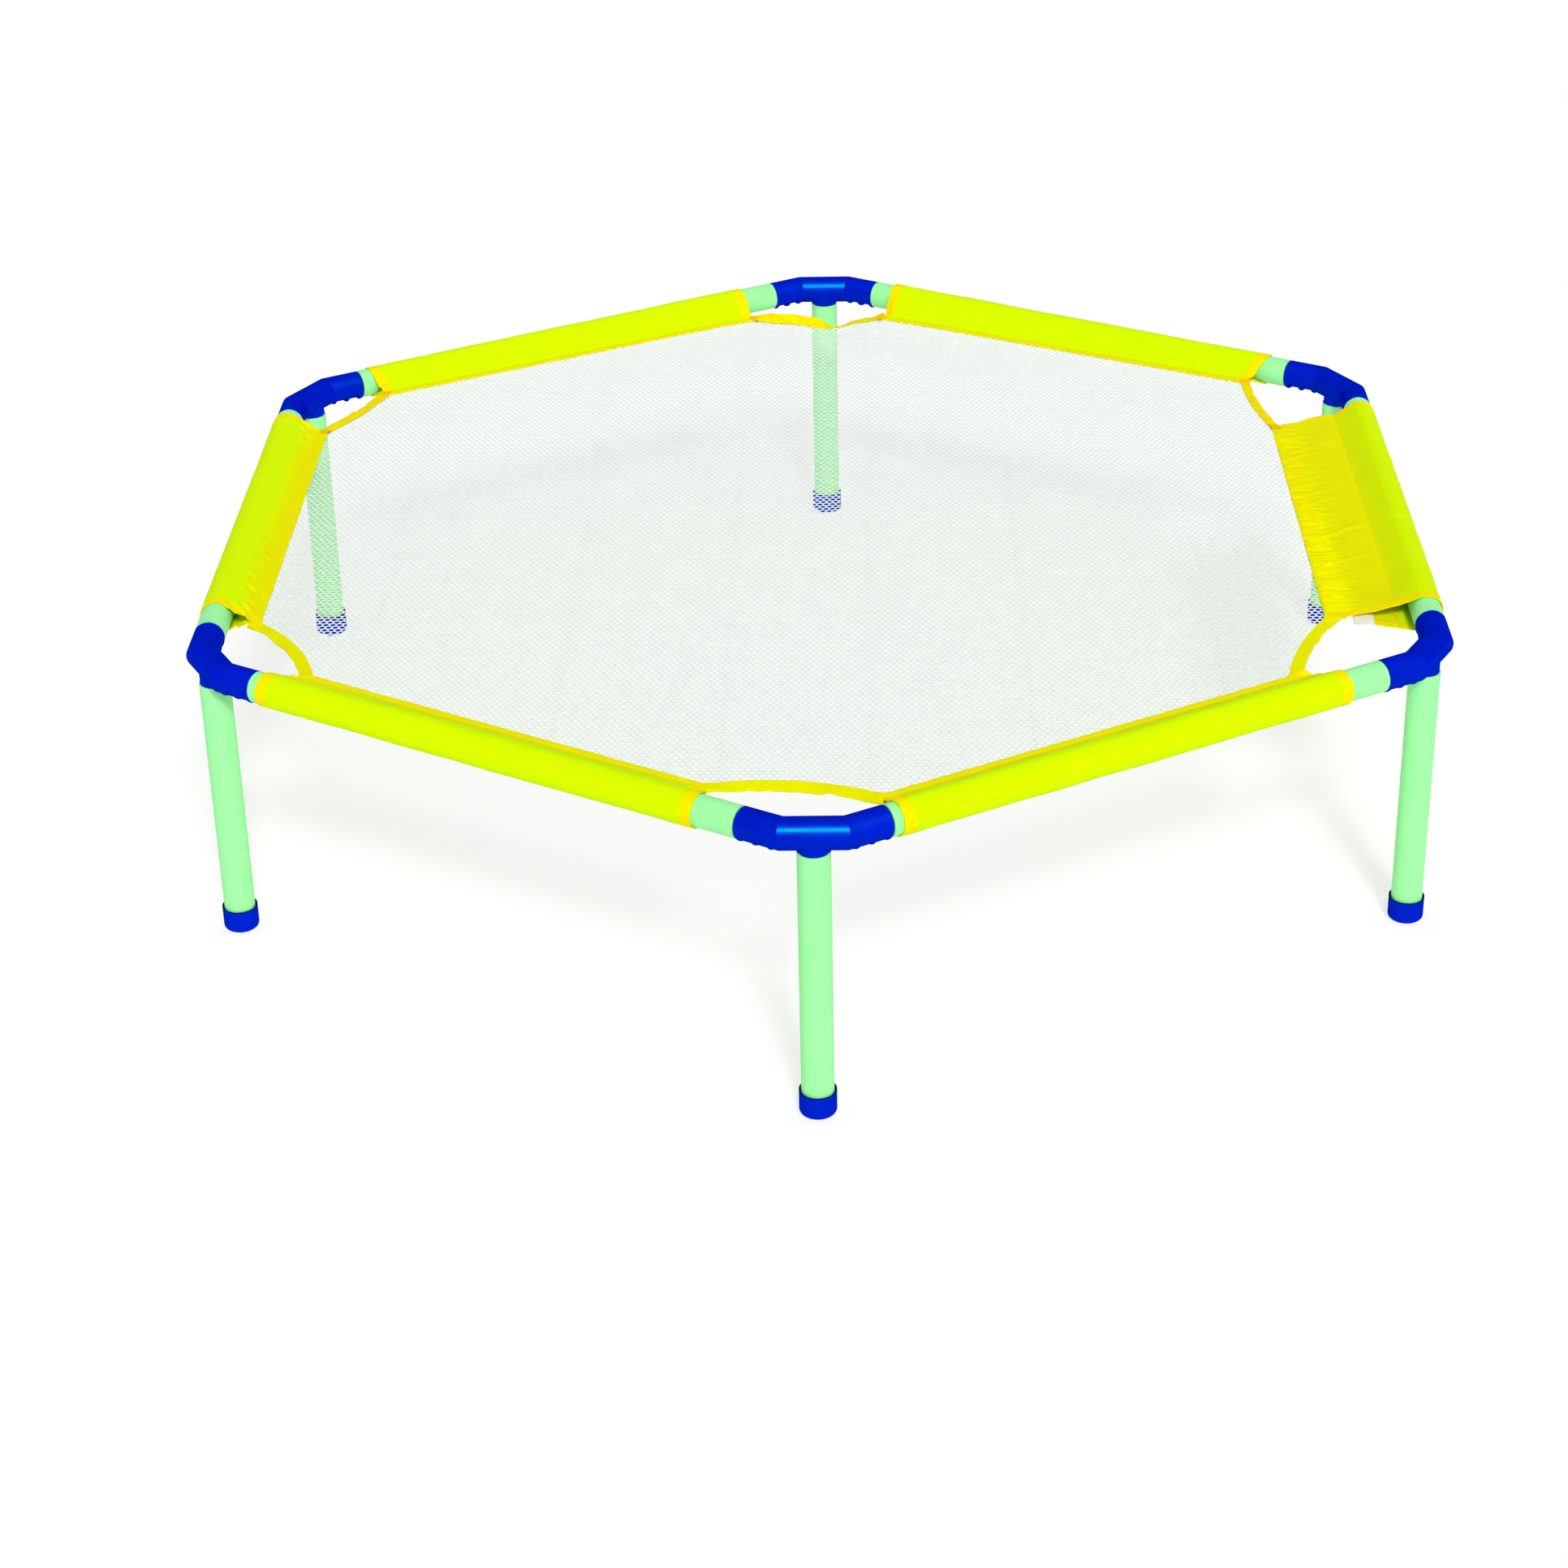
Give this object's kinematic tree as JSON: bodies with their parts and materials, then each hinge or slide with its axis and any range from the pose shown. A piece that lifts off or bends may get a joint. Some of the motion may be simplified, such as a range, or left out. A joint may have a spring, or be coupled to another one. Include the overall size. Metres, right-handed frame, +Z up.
{
  "type": "bounce volleyball net",
  "caption": "Low hexagonal bounce net: a taut mesh held by cloth sleeves on a ring of tubes and corner connectors, standing on push-on legs with foot caps.",
  "frame": {"origin": "on the floor under the centre of the ring", "axes": "+Z up, -Y towards the front corner, +X towards the side with the wide sleeve"},
  "size_m": [1.2844, 1.4454, 0.3232],
  "materials": {
    "connector_plastic": "moulded, glossy",
    "cap_plastic": "moulded, satin gloss",
    "tube_plastic": "extruded, smooth",
    "sleeve_cloth": "woven polyester",
    "binding_cloth": "woven polyester tape",
    "net_mesh": "knitted polyester mesh",
    "closure_tape": "hook-and-loop tape"
  },
  "bodies": {
    "ring": {"connector_front": "connector_plastic", "connector_front_right": "connector_plastic", "connector_rear_right": "connector_plastic", "connector_rear": "connector_plastic", "connector_rear_left": "connector_plastic", "connector_front_left": "connector_plastic", "side_tube_front_right": "tube_plastic", "side_tube_right": "tube_plastic", "side_tube_rear_right": "tube_plastic", "side_tube_rear_left": "tube_plastic", "side_tube_left": "tube_plastic", "side_tube_front_left": "tube_plastic", "sleeve_front_right": "sleeve_cloth", "sleeve_right": "sleeve_cloth", "sleeve_rear_right": "sleeve_cloth", "sleeve_rear_left": "sleeve_cloth", "sleeve_left": "sleeve_cloth", "sleeve_front_left": "sleeve_cloth", "binding_front": "binding_cloth", "binding_front_right": "binding_cloth", "binding_rear_right": "binding_cloth", "binding_rear": "binding_cloth", "binding_rear_left": "binding_cloth", "binding_front_left": "binding_cloth", "net": "net_mesh", "closure_strip": "closure_tape"},
    "leg_front": {"leg_tube_front": "tube_plastic", "foot_cap_front": "cap_plastic"},
    "leg_front_right": {"leg_tube_front_right": "tube_plastic", "foot_cap_front_right": "cap_plastic"},
    "leg_rear_right": {"leg_tube_rear_right": "tube_plastic", "foot_cap_rear_right": "cap_plastic"},
    "leg_rear": {"leg_tube_rear": "tube_plastic", "foot_cap_rear": "cap_plastic"},
    "leg_rear_left": {"leg_tube_rear_left": "tube_plastic", "foot_cap_rear_left": "cap_plastic"},
    "leg_front_left": {"leg_tube_front_left": "tube_plastic", "foot_cap_front_left": "cap_plastic"}
  },
  "joints": [
    {"name": "leg_front_pull", "type": "slide", "parent": "ring", "child": "leg_front", "axis": [0, 0, -1], "range_m": [0, 0.08]},
    {"name": "leg_front_right_pull", "type": "slide", "parent": "ring", "child": "leg_front_right", "axis": [0, 0, -1], "range_m": [0, 0.08]},
    {"name": "leg_rear_right_pull", "type": "slide", "parent": "ring", "child": "leg_rear_right", "axis": [0, 0, -1], "range_m": [0, 0.08]},
    {"name": "leg_rear_pull", "type": "slide", "parent": "ring", "child": "leg_rear", "axis": [0, 0, -1], "range_m": [0, 0.08]},
    {"name": "leg_rear_left_pull", "type": "slide", "parent": "ring", "child": "leg_rear_left", "axis": [0, 0, -1], "range_m": [0, 0.08]},
    {"name": "leg_front_left_pull", "type": "slide", "parent": "ring", "child": "leg_front_left", "axis": [0, 0, -1], "range_m": [0, 0.08]}
  ]
}
